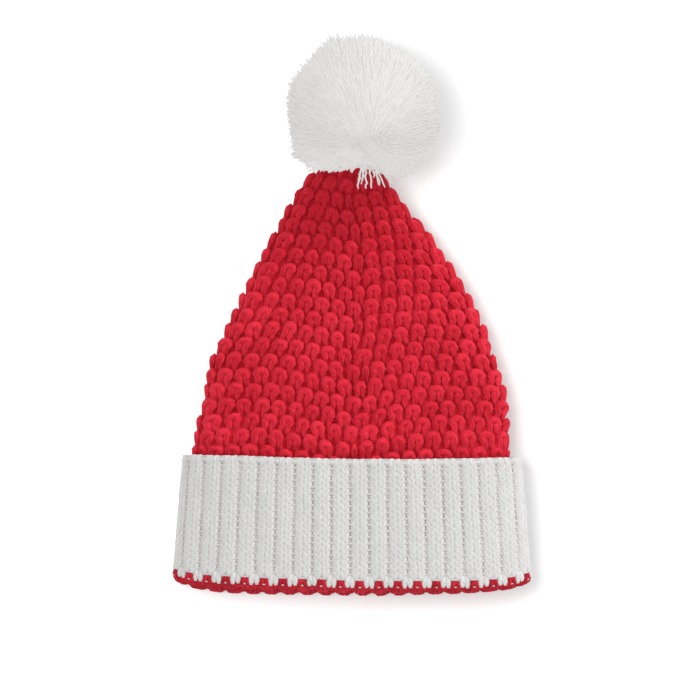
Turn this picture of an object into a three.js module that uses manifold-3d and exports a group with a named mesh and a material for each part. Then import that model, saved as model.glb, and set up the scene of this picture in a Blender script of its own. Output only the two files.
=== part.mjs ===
// A knitted bobble hat, lying flat: a red crown in chunky tuck stitch, a white ribbed cuff turned up
// round its foot, and a white yarn pompom on the tip. Millimetres, +Z up. The hat lies on the plane
// z = 0 with its mouth towards -Y and its tip towards +Y.
//
// The crown and the cuff are one knitted tube. It runs down inside to the hem, turns outwards there,
// and goes from red to white a little way up the turn, so the crown's solid holds the red lip.

import * as THREE from "three";
import Module from "manifold-3d";
import { mergeVertices } from "three/addons/utils/BufferGeometryUtils.js";

// The knitted tube, lying flat.
const hemWidth = 221; // across the fold at the mouth
const cuffTopWidth = 206; // across the top edge of the cuff
const crownWidth = 193; // across the crown just above the cuff
const crownLength = 268; // from the hem's fold to the closed tip
const crownLoft = 36; // height of the crown's two layers with the air between them
const crownWall = 4.4; // thick tuck stitch
const cuffWall = 4.2; // ribbing, and the lip under it
const clearance = 0.3; // between crown and cuff, and round the tip in the pompom

// The turned-up cuff.
const cuffHeight = 75.5; // from the colour change to the cuff's top edge
const hemLip = 7.5; // red lip between the fold and the colour change
const hemRecess = 5; // how far the upper layer's hem may lie behind the lower layer's
const hemSkew = 0.8; // share of it that the upper hem gains at the left fold and loses at the right
const hemBow = 2.4; // how far the hem and the cuff's top edge climb towards the sides
const hemBend = 1.6; // exponent of that climb
const hemCorner = 5; // what the hem's rounded corners add to that
const cornerBend = 9; // exponent of the corners, which keeps them short
const ribCount = 40; // ribs all round
const ribDepth = 1.3; // groove between two ribs

// The crown's stitch rows, which ridge its surface.
const rowPitch = 9.6; // from one row of stitches to the next
const rowDepth = 2; // groove between two rows
const rowFall = 0.0875; // how far a row dips in the middle, as a share of the half width
const rowFallEnd = 0.7; // the dip ends this far out, as a share of the half width

// The pompom.
const pompomWidth = 95; // from side to side
const pompomLength = 90; // along the hat
const pompomHeight = 84; // it settles a little under its own weight
const pompomOverlap = 17; // how far the crown's tip reaches into it
const pompomOffset = 7.5; // its centre lies this far to the right of the hem's
const lockCount = 50; // tufts of yarn all over it
const lockWidth = 22; // across a tuft
const lockTip = 0.55; // across its end, as a share of that
const lockShoulder = 0.67; // where it starts to narrow, as a share of its length
const ballShare = 0.87; // the solid ball under the tufts, as a share of the pompom

// The crown above the cuff. along: share of crownLength from the hem. width: share of crownWidth.
// lean: sideways shift, lift: height of the underside, loft: height of both layers, each a share of
// crownLoft.
const crownForm = [
  { along: 0.447, width: 0.968, lean: 0.05, lift: 0, loft: 1.0 },
  { along: 0.538, width: 0.902, lean: 0.03, lift: 0, loft: 0.98 },
  { along: 0.63, width: 0.795, lean: 0.06, lift: 0, loft: 0.95 },
  { along: 0.721, width: 0.671, lean: 0.03, lift: 0, loft: 0.91 },
  { along: 0.813, width: 0.51, lean: -0.01, lift: 0.03, loft: 0.86 },
  { along: 0.904, width: 0.33, lean: -0.1, lift: 0.22, loft: 0.76 },
  { along: 0.95, width: 0.24, lean: -0.09, lift: 0.4, loft: 0.64 },
  { along: 0.982, width: 0.14, lean: -0.07, lift: 0.56, loft: 0.42 },
  { along: 1, width: 0.03, lean: -0.06, lift: 0.74, loft: 0.08 },
];
const mouthLoft = 0.88; // height of the layers at the hem, as a share of crownLoft
const upperRoundness = 2.3; // superellipse exponent of the arched upper layer
const lowerRoundness = 3.4; // and of the flatter underside
const widestAt = 0.45; // height of the side folds, as a share of the loft
const settle = 0.12; // share of the lower half that the table flattens

// How far the pompom reaches, seen from above, as a share of its ellipse. bearing: degrees from +X
// towards +Y.
const pompomOutline = [
  { bearing: 0, reach: 0.99 },
  { bearing: 45, reach: 0.96 },
  { bearing: 90, reach: 1.0 },
  { bearing: 115, reach: 1.03 },
  { bearing: 160, reach: 1.02 },
  { bearing: 235, reach: 0.99 },
  { bearing: 260, reach: 0.92 },
  { bearing: 275, reach: 1.0 },
  { bearing: 308, reach: 1.05 },
  { bearing: 335, reach: 1.04 },
];

// What follows from the sizes.
const turnUp = cuffWall + clearance; // from the crown's outside to the cuff's outside
const cuffTop = hemLip + cuffHeight;
const foldRadius = (crownWall + turnUp) / 2;
const foldCentre = (turnUp - crownWall) / 2;
const cuffReach = cuffTop + hemRecess + hemBow; // the farthest that the cuff's edge lies from the hem
const dropLength = 4 * turnUp; // past it the underside comes down to the table over this length
const pompomCentre = crownLength - pompomOverlap + pompomLength / 2;

// How finely the surfaces are cut up.
const lockSides = 5;
const pointsPerRib = 4;
const crownPoints = 48; // round the crown
const ballDetail = 2;
const sectionSteps = 320; // round a section, to measure it
const innerRings = 10; // inside the crown, from the tip to the hem
const foldRings = 5; // round the hem's fold
const underCuffRings = 3;
const tipRings = 4; // past the last row of stitches
const edgeRings = 4; // round the cuff's top edge
const socketRings = 14;

// The rows of the form as lengths, with the stretch under the cuff in front of them.
function crownStations() {
  const shared = crownForm.map((row) => ({
    at: row.along * crownLength,
    half: (row.width * crownWidth) / 2,
    lean: row.lean * crownLoft,
    lift: row.lift * crownLoft,
    loft: row.loft * crownLoft,
  }));
  const mouth = { at: 0, half: hemWidth / 2 - turnUp, lean: 0, lift: 0, loft: mouthLoft * crownLoft };
  const edge = { ...mouth, at: cuffReach, half: cuffTopWidth / 2 - turnUp, loft: crownLoft };
  const neck = {
    ...edge,
    at: cuffReach + dropLength / 2,
    half: crownWidth / 2,
    loft: crownLoft + turnUp / 2,
  };
  return [mouth, edge, neck, ...shared.filter((row) => row.at > neck.at + rowPitch)];
}

const stations = crownStations();
const stationValues = new THREE.CubicInterpolant(
  Float32Array.from(stations, (row) => row.at),
  Float32Array.from(stations.flatMap((row) => [row.half, row.lean, row.lift, row.loft])),
  4,
);

// The crown's outside at a distance from the hem: half width, lean, underside and top.
function crownAt(distance) {
  const inside = THREE.MathUtils.clamp(distance, 0, crownLength);
  const [half, lean, lift, loft] = stationValues.evaluate(inside);
  const onTheCuff = 1 - THREE.MathUtils.smoothstep(inside, cuffReach, cuffReach + dropLength);
  const underside = Math.max(lift, 0) + turnUp * onTheCuff;
  return { half, lean, underside, top: underside + loft };
}

// The closed outline of the tube at one distance, moved outwards from the crown's own surface.
class TubeOutline extends THREE.Curve {
  constructor(distance, outset) {
    super();
    this.arcLengthDivisions = sectionSteps;
    const form = crownAt(distance);
    this.lean = form.lean;
    this.half = Math.max(form.half + outset, clearance);
    this.floor = form.underside - outset;
    this.top = Math.max(form.top + outset, this.floor + clearance);
    this.fold = this.floor + widestAt * (this.top - this.floor);
  }

  getPoint(share, target = new THREE.Vector3()) {
    const angle = 2 * Math.PI * share;
    const [across, up] = [Math.cos(angle), Math.sin(angle)];
    const exponent = 2 / (up >= 0 ? upperRoundness : lowerRoundness);
    const reach = up >= 0 ? this.top - this.fold : (1 + settle) * (this.fold - this.floor);
    const x = this.lean + this.half * Math.sign(across) * Math.abs(across) ** exponent;
    const z = this.fold + reach * Math.sign(up) * Math.abs(up) ** exponent;
    return target.set(x, 0, Math.max(z, this.floor));
  }
}

// How far along the hat a point lies on the ring at a distance. side: -1 at the left fold to 1 at the
// right one. height: 0 on the table to 1 on top.
function bowed(distance, side, height) {
  const across = Math.abs(side);
  const onTheCrown = THREE.MathUtils.smoothstep(distance, cuffTop, cuffTop + 2 * rowPitch);
  const hemClimb = hemBow * across ** hemBend;
  const outwards = Math.min(across / rowFallEnd, 1);
  const rowClimb = rowFall * crownAt(distance).half * Math.sin((outwards * Math.PI) / 2);
  const corner = hemCorner * Math.max(1 - distance / cuffTop, 0) * across ** cornerBend;
  const recess = (hemRecess * (1 - hemSkew * side)) / 2;
  const upper = recess * Math.max(1 - distance / crownLength, 0) * height;
  return distance + THREE.MathUtils.lerp(hemClimb, rowClimb, onTheCrown) + corner + upper;
}

// One ring of points on the tube; relief(i) moves point i outwards.
function ring({ distance, outset = 0, count = crownPoints, relief = () => 0 }) {
  const level = new TubeOutline(distance, outset);
  const points = level.getSpacedPoints(count).slice(0, count).map((guide, i) => {
    const side = (guide.x - level.lean) / level.half;
    const height = (guide.z - level.floor) / (level.top - level.floor);
    const y = bowed(distance, side, height);
    return new TubeOutline(y, outset).getPointAt(i / count).setY(y);
  });
  return points.map((point, i) => {
    const before = points[(i + count - 1) % count];
    const after = points[(i + 1) % count];
    const normal = new THREE.Vector3(after.z - before.z, 0, before.x - after.x).normalize();
    const moved = point.clone().addScaledVector(normal, relief(i));
    return moved.setZ(Math.max(moved.z, 0));
  });
}

// A closed surface through rings of equal count, ended by fans or joined end to end.
function loft(rings, closedOnItself) {
  const count = rings[0].length;
  const points = rings.flat();
  const faces = [];
  const joins = closedOnItself ? rings.length : rings.length - 1;
  for (let r = 0; r < joins; r++) {
    const [low, high] = [r * count, ((r + 1) % rings.length) * count];
    for (let i = 0; i < count; i++) {
      const j = (i + 1) % count;
      faces.push(low + i, high + j, low + j, low + i, high + i, high + j);
    }
  }
  if (!closedOnItself) {
    const last = (rings.length - 1) * count;
    points.push(middleOf(rings[0]), middleOf(rings[rings.length - 1]));
    for (let i = 0; i < count; i++) {
      const j = (i + 1) % count;
      faces.push(points.length - 2, i, j, points.length - 1, last + j, last + i);
    }
  }
  return new THREE.BufferGeometry().setFromPoints(points).setIndex(faces);
}

function middleOf(points) {
  return points.reduce((sum, point) => sum.add(point), new THREE.Vector3()).divideScalar(points.length);
}

// Evenly spaced numbers, both ends included.
function spaced(from, to, count) {
  return Array.from({ length: count }, (_, i) => THREE.MathUtils.lerp(from, to, i / (count - 1)));
}

// Distances of the rings on the two faces that meet under the cuff.
const underCuff = spaced(hemLip, cuffTop - cuffWall / 2, underCuffRings);

// Crown: inside from the tip to the hem, round the fold, over the lip, and outside back to the tip.
function crownGeometry() {
  const inner = spaced(crownLength - 2 * crownWall, foldRadius, innerRings).map((distance) => ({
    distance,
    outset: -crownWall,
  }));
  const fold = spaced(0, Math.PI, foldRings).slice(1, -1).map((turn) => ({
    distance: foldRadius * (1 - Math.sin(turn)),
    outset: foldCentre - foldRadius * Math.cos(turn),
  }));
  const lip = [
    { distance: foldRadius, outset: turnUp },
    { distance: hemLip, outset: turnUp },
  ];
  const hidden = underCuff.map((distance) => ({ distance }));
  const rows = Math.round((crownLength - pompomOverlap - cuffTop) / rowPitch);
  const ridged = Array.from({ length: 2 * rows }, (_, i) => ({
    distance: cuffTop + ((i + 1) * rowPitch) / 2,
    relief: () => (i % 2 ? 0 : -rowDepth),
  }));
  const lastRow = ridged[2 * rows - 1].distance;
  const tip = spaced(lastRow, crownLength, tipRings).slice(1).map((distance) => ({ distance }));
  return loft([...inner, ...fold, ...lip, ...hidden, ...ridged, ...tip].map(ring), false);
}

// Cuff: a sleeve on the crown, ribbed outside and rounded over at its top edge.
function cuffGeometry() {
  const count = ribCount * pointsPerRib;
  const relief = (i) => (i % pointsPerRib === 0 ? -ribDepth : 0);
  const edgeRadius = cuffWall / 2;
  const foot = hemLip + clearance;
  const outside = spaced(foot, cuffTop - edgeRadius, underCuffRings).map((distance) => ({
    distance,
    outset: turnUp,
    relief,
  }));
  const edge = spaced(0, Math.PI, edgeRings).slice(1, -1).map((turn) => ({
    distance: cuffTop - edgeRadius * (1 - Math.sin(turn)),
    outset: clearance + edgeRadius * (1 + Math.cos(turn)),
  }));
  const inside = [foot, ...underCuff.slice(1)].reverse().map((distance) => ({
    distance,
    outset: clearance,
  }));
  return loft([...outside, ...edge, ...inside].map((row) => ring({ ...row, count })), true);
}

const wasm = await Module();
wasm.setup();

// A closed geometry as a solid that can be joined and cut, and back.
function solidOf(geometry) {
  const bare = new THREE.BufferGeometry().setAttribute("position", geometry.getAttribute("position"));
  const merged = mergeVertices(bare.setIndex(geometry.index), 1e-3);
  return new wasm.Manifold(
    new wasm.Mesh({
      numProp: 3,
      vertProperties: Float32Array.from(merged.attributes.position.array),
      triVerts: Uint32Array.from(merged.index.array),
    }),
  );
}

function geometryOf(solid) {
  const mesh = solid.getMesh();
  return new THREE.BufferGeometry()
    .setAttribute("position", new THREE.BufferAttribute(Float32Array.from(mesh.vertProperties), 3))
    .setIndex(new THREE.BufferAttribute(Uint32Array.from(mesh.triVerts), 1));
}

// How far the pompom reaches in a direction from its centre. The outline's share counts in full on
// the level and not at all straight up.
function pompomReach(direction) {
  const half = new THREE.Vector3(pompomWidth / 2, pompomLength / 2, pompomHeight / 2);
  const ellipsoid = 1 / direction.clone().divide(half).length();
  const bearing = (THREE.MathUtils.radToDeg(Math.atan2(direction.y, direction.x)) + 360) % 360;
  const after = pompomOutline.findIndex((row) => row.bearing > bearing);
  const next = pompomOutline.at(Math.max(after, 0));
  const last = pompomOutline.at(Math.max(after, 0) - 1);
  const turned = (bearing - last.bearing) / ((next.bearing - last.bearing + 360) % 360);
  const share = THREE.MathUtils.lerp(last.reach, next.reach, turned);
  return ellipsoid * THREE.MathUtils.lerp(1, share, Math.hypot(direction.x, direction.y));
}

// One tuft: a lock from inside the ball out to the pompom's outline, narrowed at its end.
function lockGeometry(direction) {
  const reach = pompomReach(direction);
  const root = ballShare * ballShare * reach;
  const round = (distance, width) =>
    spaced(0, 2 * Math.PI, lockSides + 1)
      .slice(1)
      .map((turn) => new THREE.Vector3().setFromCylindricalCoords(width / 2, Math.PI / 2 - turn, distance));
  const shoulder = THREE.MathUtils.lerp(root, reach, lockShoulder);
  const rings = [round(root, lockWidth), round(shoulder, lockWidth), round(reach, lockWidth * lockTip)];
  const upright = new THREE.Vector3(0, 1, 0);
  const turned = new THREE.Quaternion().setFromUnitVectors(upright, direction);
  return loft(rings, false).applyQuaternion(turned);
}

// Pompom: tufts of yarn fused to a ball, flattened by the table, with a socket for the crown's tip.
function pompomGeometry() {
  const ball = new THREE.IcosahedronGeometry(ballShare, ballDetail);
  ball.scale(pompomWidth / 2, pompomLength / 2, pompomHeight / 2);
  const goldenAngle = Math.PI * (3 - Math.sqrt(5));
  const locks = Array.from({ length: lockCount }, (_, i) => {
    const up = 1 - (2 * (i + 0.5)) / lockCount;
    const level = Math.sqrt(1 - up * up);
    const turn = i * goldenAngle;
    return lockGeometry(new THREE.Vector3(level * Math.cos(turn), level * Math.sin(turn), up));
  });
  const tufted = wasm.Manifold.union([ball, ...locks].map(solidOf));
  const table = new THREE.BoxGeometry(2 * pompomWidth, 2 * pompomLength, pompomHeight);
  table.translate(0, 0, -pompomHeight);
  const settled = tufted.subtract(solidOf(table));
  const socketFrom = crownLength - 2 * pompomOverlap - rowPitch;
  const socket = loft(
    spaced(socketFrom, crownLength, socketRings).map((distance) => ring({ distance, outset: clearance })),
    false,
  );
  socket.translate(0, clearance, 0);
  const placed = settled.translate(pompomOffset, pompomCentre, pompomHeight / 2);
  const cut = placed.subtract(solidOf(socket)).decompose();
  return geometryOf(cut.sort((a, b) => b.volume() - a.volume())[0]);
}

function knit(color) {
  return new THREE.MeshStandardMaterial({ color, roughness: 0.95, metalness: 0 });
}

function piece(name, geometry, material) {
  geometry.computeVertexNormals();
  const mesh = new THREE.Mesh(geometry, material);
  mesh.name = name;
  return mesh;
}

const hat = new THREE.Group();
hat.add(
  piece("crown", crownGeometry(), knit(0xc32536)),
  piece("cuff", cuffGeometry(), knit(0xd9d7d4)),
  piece("pompom", pompomGeometry(), knit(0xdfdfdd)),
);

// The origin goes to the middle of the hat's footprint.
const box = new THREE.Box3().setFromObject(hat);
hat.position.set(-(box.min.x + box.max.x) / 2, -(box.min.y + box.max.y) / 2, -box.min.z);

export default hat;
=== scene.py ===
# A knitted santa hat lying flat on white: red tuck-stitch crown, white ribbed cuff, white yarn pompom.
import math

import bpy
import numpy as np
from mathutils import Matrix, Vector, noise


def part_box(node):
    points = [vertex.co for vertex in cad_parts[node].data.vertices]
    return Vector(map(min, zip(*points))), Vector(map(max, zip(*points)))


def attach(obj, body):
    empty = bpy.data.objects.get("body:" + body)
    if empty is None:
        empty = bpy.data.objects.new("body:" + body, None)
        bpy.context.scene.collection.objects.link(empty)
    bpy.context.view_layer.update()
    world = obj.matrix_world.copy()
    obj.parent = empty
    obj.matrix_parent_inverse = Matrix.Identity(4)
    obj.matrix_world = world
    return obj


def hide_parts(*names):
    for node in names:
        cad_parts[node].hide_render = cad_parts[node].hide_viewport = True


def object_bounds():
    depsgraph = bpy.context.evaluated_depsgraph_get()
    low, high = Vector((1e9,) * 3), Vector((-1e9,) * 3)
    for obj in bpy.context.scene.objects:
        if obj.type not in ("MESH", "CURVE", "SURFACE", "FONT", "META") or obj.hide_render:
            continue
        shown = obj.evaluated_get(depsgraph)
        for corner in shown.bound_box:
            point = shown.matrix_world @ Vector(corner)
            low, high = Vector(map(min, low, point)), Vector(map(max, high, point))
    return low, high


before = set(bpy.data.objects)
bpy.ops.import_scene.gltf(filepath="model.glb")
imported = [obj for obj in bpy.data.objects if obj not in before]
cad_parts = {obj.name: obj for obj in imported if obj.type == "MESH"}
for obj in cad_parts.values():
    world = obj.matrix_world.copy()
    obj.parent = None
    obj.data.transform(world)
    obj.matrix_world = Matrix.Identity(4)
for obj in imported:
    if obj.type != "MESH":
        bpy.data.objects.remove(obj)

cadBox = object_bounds()
crownLow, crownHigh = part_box("crown")
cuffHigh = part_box("cuff")[1]
pompomLow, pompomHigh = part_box("pompom")
mm = 0.001

# camera and light

view = {
    "photoPixels": 700,
    "hatPixels": 560,  # from the pompom's top to the hem
    "middle": (-0.0012, -0.0203),  # point of the table at the picture's middle
    "subjectHeight": 0.02,
    "cameraHeight": 5.0,
    "sensor": 36.0,
    "lamps": {  # power, size, place, what it lights
        "topLight": (15.5, 0.6, (1.0, 1.15, 0.95), "hatPieces"),
        "leftLight": (25.0, 0.75, (-0.48, 0.16, 1.45), "tablePieces"),
    },
    "skyStrength": 1.04,
}
litPieces = {name: bpy.data.collections.new(name) for name in ("hatPieces", "tablePieces")}
for collection in litPieces.values():
    bpy.context.scene.collection.children.link(collection)


def aimedAt(obj, target):
    direction = Vector(target) - obj.location
    obj.rotation_euler = direction.to_track_quat("-Z", "Y").to_euler()


def addCamera():
    data = bpy.data.cameras.new("camera")
    camera = bpy.data.objects.new("camera", data)
    bpy.context.scene.collection.objects.link(camera)
    camera.location = (*view["middle"], view["cameraHeight"])
    hatLength = cadBox[1].y - cadBox[0].y
    frameWidth = hatLength * view["photoPixels"] / view["hatPixels"]
    distance = view["cameraHeight"] - view["subjectHeight"]
    data.sensor_width = view["sensor"]
    data.lens = view["sensor"] * distance / frameWidth
    data.clip_end = 50
    bpy.context.scene.camera = camera


def gather(piece, collectionName):
    for home in list(piece.users_collection):
        home.objects.unlink(piece)
    litPieces[collectionName].objects.link(piece)


def addLights():
    for name, (power, size, place, lit) in view["lamps"].items():
        data = bpy.data.lights.new(name, "AREA")
        data.energy = power
        data.size = size
        lamp = bpy.data.objects.new(name, data)
        lamp.location = place
        aimedAt(lamp, (0, 0, 0))
        bpy.context.scene.collection.objects.link(lamp)
        lamp.light_linking.receiver_collection = litPieces[lit]
    world = bpy.data.worlds.new("studio")
    world.use_nodes = True
    world.node_tree.nodes["Background"].inputs["Color"].default_value = (1, 1, 1, 1)
    world.node_tree.nodes["Background"].inputs["Strength"].default_value = view["skyStrength"]
    bpy.context.scene.world = world
    bpy.context.scene.view_settings.view_transform = "Standard"


addCamera()
addLights()
print("camera and light ready")

# the knitted tube as a form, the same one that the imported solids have

form = {
    "cuffWall": 4.2 * mm,
    "crownWall": 4.4 * mm,
    "gap": 0.3 * mm,
    "foldClip": 1.0087,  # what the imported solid's facets cut off its folds
    "crownShare": 0.8733,
    "cuffTopShare": 0.932,
    "loftShare": 0.815,
    "hemLip": 7.5 * mm,
    "cuffHeight": 75.5 * mm,
    "hemRecess": 5 * mm,
    "hemSkew": 0.8,
    "hemBow": 2.4 * mm,
    "hemBend": 1.6,
    "hemCorner": 5 * mm,
    "cornerBend": 9,
    "rowPitch": 9.6 * mm,
    "rowFall": 0.0875,
    "rowFallEnd": 0.7,
    "mouthLoft": 0.88,
    "upperRoundness": 2.3,
    "lowerRoundness": 3.4,
    "widestAt": 0.45,
    "settle": 0.12,
}
turnUp = form["cuffWall"] + form["gap"]
hemWidth = form["foldClip"] * (crownHigh.x - crownLow.x)
crownWidth = form["crownShare"] * hemWidth
cuffTopWidth = form["cuffTopShare"] * hemWidth
crownLength = crownHigh.y - crownLow.y
crownLoft = form["loftShare"] * cuffHigh.z
cuffTop = form["hemLip"] + form["cuffHeight"]
cuffReach = cuffTop + form["hemRecess"] + form["hemBow"]
dropLength = 4 * turnUp
foldRadius = (form["crownWall"] + turnUp) / 2
foldCentre = (turnUp - form["crownWall"]) / 2

# along, width, lean, lift, loft
crownForm = [
    (0.447, 0.968, 0.05, 0, 1.0),
    (0.538, 0.902, 0.03, 0, 0.98),
    (0.63, 0.795, 0.06, 0, 0.95),
    (0.721, 0.671, 0.03, 0, 0.91),
    (0.813, 0.51, -0.01, 0.03, 0.86),
    (0.904, 0.33, -0.1, 0.22, 0.76),
    (0.95, 0.24, -0.09, 0.4, 0.64),
    (0.982, 0.14, -0.07, 0.56, 0.42),
    (1, 0.03, -0.06, 0.74, 0.08),
]


def formStations():
    mouth = (0, hemWidth / 2 - turnUp, 0, 0, form["mouthLoft"] * crownLoft)
    edge = (cuffReach, cuffTopWidth / 2 - turnUp, 0, 0, crownLoft)
    neck = (cuffReach + dropLength / 2, crownWidth / 2, 0, 0, crownLoft + turnUp / 2)
    above = [
        (along * crownLength, width * crownWidth / 2, lean * crownLoft, lift * crownLoft, loft * crownLoft)
        for along, width, lean, lift, loft in crownForm
    ]
    return np.array([mouth, edge, neck] + above)


stations = formStations()
outlineSteps = 721
sectionsInARow = 7


def smoothStep(value, low, high):
    share = np.clip((value - low) / (high - low), 0, 1)
    return share * share * (3 - 2 * share)


def crownAt(distance):
    # Half width, lean, underside and top of the crown's outside.
    at, values = stations[:, 0], stations[:, 1:]
    slopes = np.empty_like(values)
    slopes[1:-1] = (values[2:] - values[:-2]) / (at[2:] - at[:-2])[:, None]
    slopes[0] = (3 * (values[1] - values[0]) / (at[1] - at[0]) - slopes[1]) / 2
    slopes[-1] = (3 * (values[-1] - values[-2]) / (at[-1] - at[-2]) - slopes[-2]) / 2
    inside = float(np.clip(distance, 0, crownLength))
    k = int(np.clip(np.searchsorted(at, inside, side="right") - 1, 0, len(at) - 2))
    step = at[k + 1] - at[k]
    t = (inside - at[k]) / step
    half, lean, lift, loft = (
        (2 * t**3 - 3 * t**2 + 1) * values[k]
        + (t**3 - 2 * t**2 + t) * step * slopes[k]
        + (3 * t**2 - 2 * t**3) * values[k + 1]
        + (t**3 - t**2) * step * slopes[k + 1]
    )
    low = max(lift, 0) + turnUp * (1 - smoothStep(inside, cuffReach, cuffReach + dropLength))
    return half, lean, low, low + loft


def outlineAt(distance, outset, count):
    # The tube's outline there, as count + 1 points evenly spaced round it.
    half, lean, low, top = crownAt(distance)
    half = max(half + outset, form["gap"])
    low = low - outset
    top = max(top + outset, low + form["gap"])
    fold = low + form["widestAt"] * (top - low)
    angle = np.linspace(0, 2 * math.pi, outlineSteps)
    across, up = np.cos(angle), np.sin(angle)
    power = np.where(up >= 0, 2 / form["upperRoundness"], 2 / form["lowerRoundness"])
    reach = np.where(up >= 0, top - fold, (1 + form["settle"]) * (fold - low))
    x = lean + half * np.sign(across) * np.abs(across) ** power
    z = np.maximum(fold + reach * np.sign(up) * np.abs(up) ** power, low)
    along = np.concatenate([[0], np.cumsum(np.hypot(np.diff(x), np.diff(z)))])
    even = np.linspace(0, along[-1], count + 1)
    return np.interp(even, along, x), np.interp(even, along, z), (lean, half, low, top)


def bowed(distance, side, height, crownRows=False):
    # How far along the hat a point lies; side runs from -1 to 1, height from 0 to 1.
    across = np.abs(side)
    fallen = np.sin(np.minimum(across / form["rowFallEnd"], 1) * math.pi / 2)
    fall = form["rowFall"] * crownAt(distance)[0] * fallen
    onTheCrown = 1 if crownRows else smoothStep(distance, cuffTop, cuffTop + 2 * form["rowPitch"])
    bow = form["hemBow"] * across ** form["hemBend"] * (1 - onTheCrown) + fall * onTheCrown
    corner = form["hemCorner"] * max(1 - distance / cuffTop, 0) * across ** form["cornerBend"]
    recess = form["hemRecess"] * max(1 - distance / crownLength, 0) * height
    return distance + bow + corner + recess * (1 - form["hemSkew"] * side) / 2


def tubeRow(distance, outset, count, crownRows=False):
    # One row of count + 1 points round the tube, the last one on the first.
    x, z, (lean, half, low, top) = outlineAt(distance, outset, count)
    y = bowed(distance, np.clip((x - lean) / half, -1, 1), (z - low) / (top - low), crownRows)
    steps = np.linspace(y.min(), y.max() + 1e-6, sectionsInARow)
    sections = np.array([outlineAt(step, outset, count)[:2] for step in steps])
    place = (y - steps[0]) / (steps[1] - steps[0])
    k = np.clip(place.astype(int), 0, sectionsInARow - 2)
    t = place - k
    column = np.arange(count + 1)
    x, z = (s[k, column] * (1 - t) + s[k + 1, column] * t for s in (sections[:, 0], sections[:, 1]))
    return np.stack([x, y + crownLow.y, z], axis=1)


def tubeGrid(path, count, crownRows=False):
    return np.array([tubeRow(distance, outset, count, crownRows) for distance, outset in path])


def halfTurn(along, outset, radius, steps):
    # Places on a path round a fold, after the first one.
    return [
        (along + radius * math.sin(a), outset + radius * math.cos(a))
        for a in np.linspace(0, math.pi, steps)[1:]
    ]


def rowNormals(grid):
    # Normals of a grid of rows, on the side that the rows advance to.
    around = np.roll(grid[:, :-1], -1, axis=1) - np.roll(grid[:, :-1], 1, axis=1)
    around = np.concatenate([around, around[:, :1]], axis=1)
    normal = np.cross(np.gradient(grid, axis=0), around)
    return normal / np.maximum(np.linalg.norm(normal, axis=2, keepdims=True), 1e-12)


# meshes from arrays


def smoothed(mesh):
    mesh.polygons.foreach_set("use_smooth", [True] * len(mesh.polygons))
    return mesh


def writeAttribute(mesh, name, kind, values):
    attribute = mesh.attributes.new(name, kind, "POINT")
    attribute.data.foreach_set("vector" if kind == "FLOAT_VECTOR" else "value", np.ravel(values))


def meshFrom(name, points, faces, material=None):
    mesh = bpy.data.meshes.new(name)
    mesh.from_pydata(points.tolist() if hasattr(points, "tolist") else points, [], faces)
    if material:
        mesh.materials.append(material)
    mesh.update()
    return smoothed(mesh)


def placed(name, mesh):
    obj = bpy.data.objects.new(name, mesh)
    bpy.context.scene.collection.objects.link(obj)
    return obj


def gridFaces(rows, columns):
    # Quads of a grid whose points are numbered row by row.
    corner = np.arange((rows - 1) * columns).reshape(rows - 1, columns)[:, :-1].ravel()
    return np.stack([corner, corner + columns, corner + columns + 1, corner + 1], axis=1).tolist()


def tubePiece(name, grid, material, looped=False):
    # A skin through rows of points, joined round, then closed at both ends or joined end to end.
    rows, count = grid.shape[0], grid.shape[1] - 1
    index = np.arange(rows * count).reshape(rows, count)
    ends = [] if looped else [index[0].tolist(), index[-1][::-1].tolist()]
    if looped:
        index = np.concatenate([index, index[:1]])
    following = np.roll(index, -1, axis=1)
    quads = np.stack([index[:-1], index[1:], following[1:], following[:-1]], axis=2)
    faces = quads.reshape(-1, 4).tolist() + ends
    return placed(name, meshFrom(name, grid[:, :-1].reshape(-1, 3), faces, material))


def surfaceFor(name, path, count, crownRows=False):
    # A sheet along a path of (distance, outset), flat in its chart: u round the tube, v along it.
    grid = tubeGrid(path, count, crownRows)
    rows, columns = grid.shape[:2]
    steps = np.linalg.norm(np.diff(grid, axis=0), axis=2).mean(axis=1)
    along = np.concatenate([[0], np.cumsum(steps)])
    mesh = meshFrom(name, grid.reshape(-1, 3), gridFaces(rows, columns))
    chart = np.stack(np.meshgrid(np.linspace(0, 1, columns), along / along[-1]), axis=2).reshape(-1, 2)
    layer = mesh.uv_layers.new(name="chart")
    corners = np.empty(len(mesh.loops), dtype=np.int32)
    mesh.loops.foreach_get("vertex_index", corners)
    layer.data.foreach_set("uv", chart[corners].ravel())
    writeAttribute(mesh, "outward", "FLOAT_VECTOR", rowNormals(grid))
    perimeter = np.linalg.norm(np.diff(grid, axis=1), axis=2).sum(axis=1)
    return {"obj": placed(name, mesh), "along": along, "perimeter": perimeter}


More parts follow.
